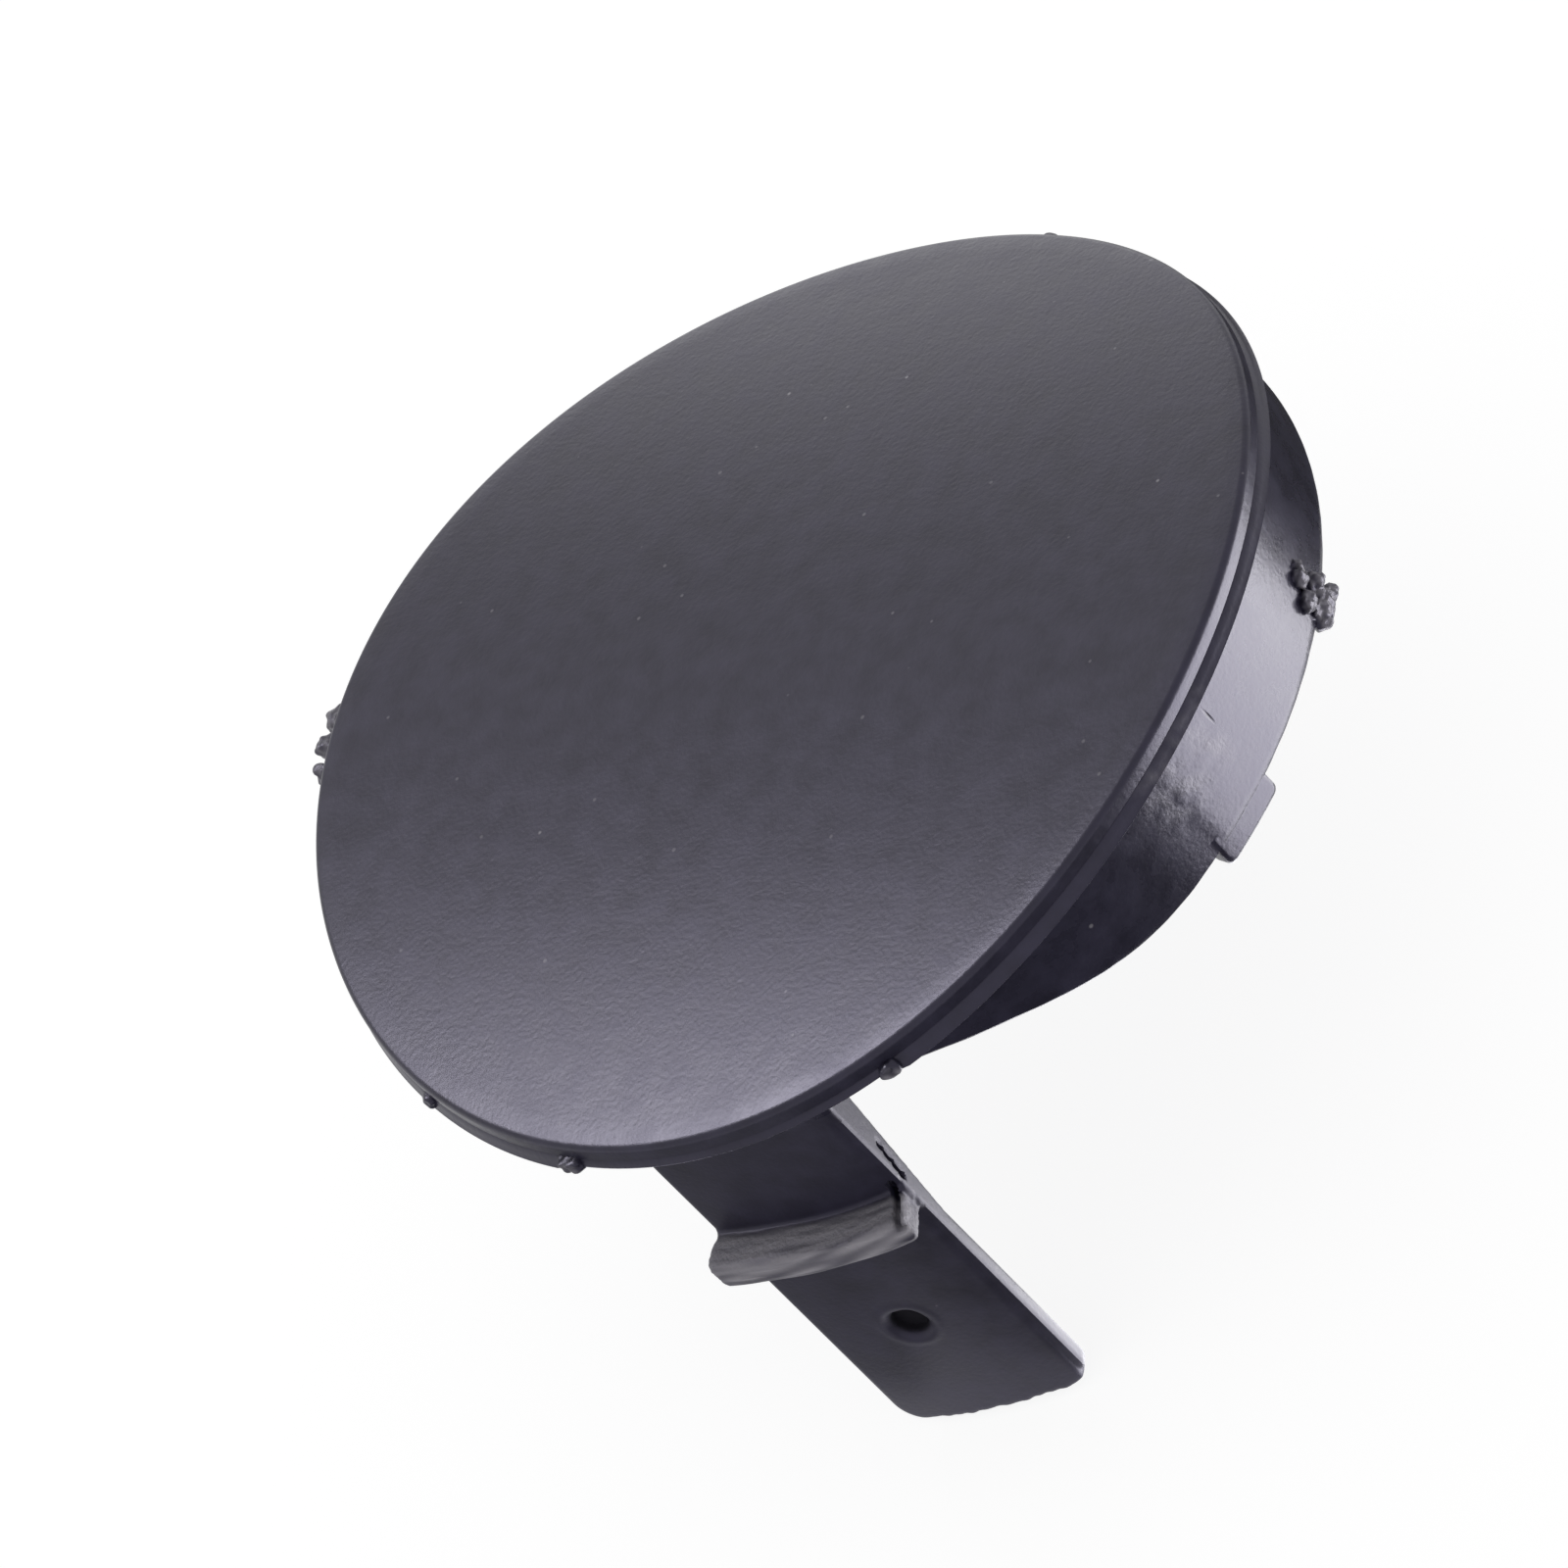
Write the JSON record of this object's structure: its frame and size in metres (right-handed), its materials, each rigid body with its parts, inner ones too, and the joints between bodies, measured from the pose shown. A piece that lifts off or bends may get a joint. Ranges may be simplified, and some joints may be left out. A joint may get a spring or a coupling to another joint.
{
  "type": "tow hook cover",
  "caption": "Round bowed plastic cap with a low skirt behind its rim and a long curved retaining strap with a raised stop and a small hole.",
  "frame": {"origin": "on the skirt's axis, on the plane through the lowest points of the back of the rim, which is where the cover seats", "axes": "+Z out of the face along the skirt's axis, +X along the line about which the face bows, the strap leaves the rim near -Y and runs along -Z"},
  "size_m": [0.0715, 0.0725, 0.0366],
  "materials": {
    "moulding": "dark grey moulded plastic, satin, fine grain on the face, scuffed along its edges"
  },
  "bodies": {
    "root": {"tow_hook_cover": "moulding"}
  },
  "joints": []
}
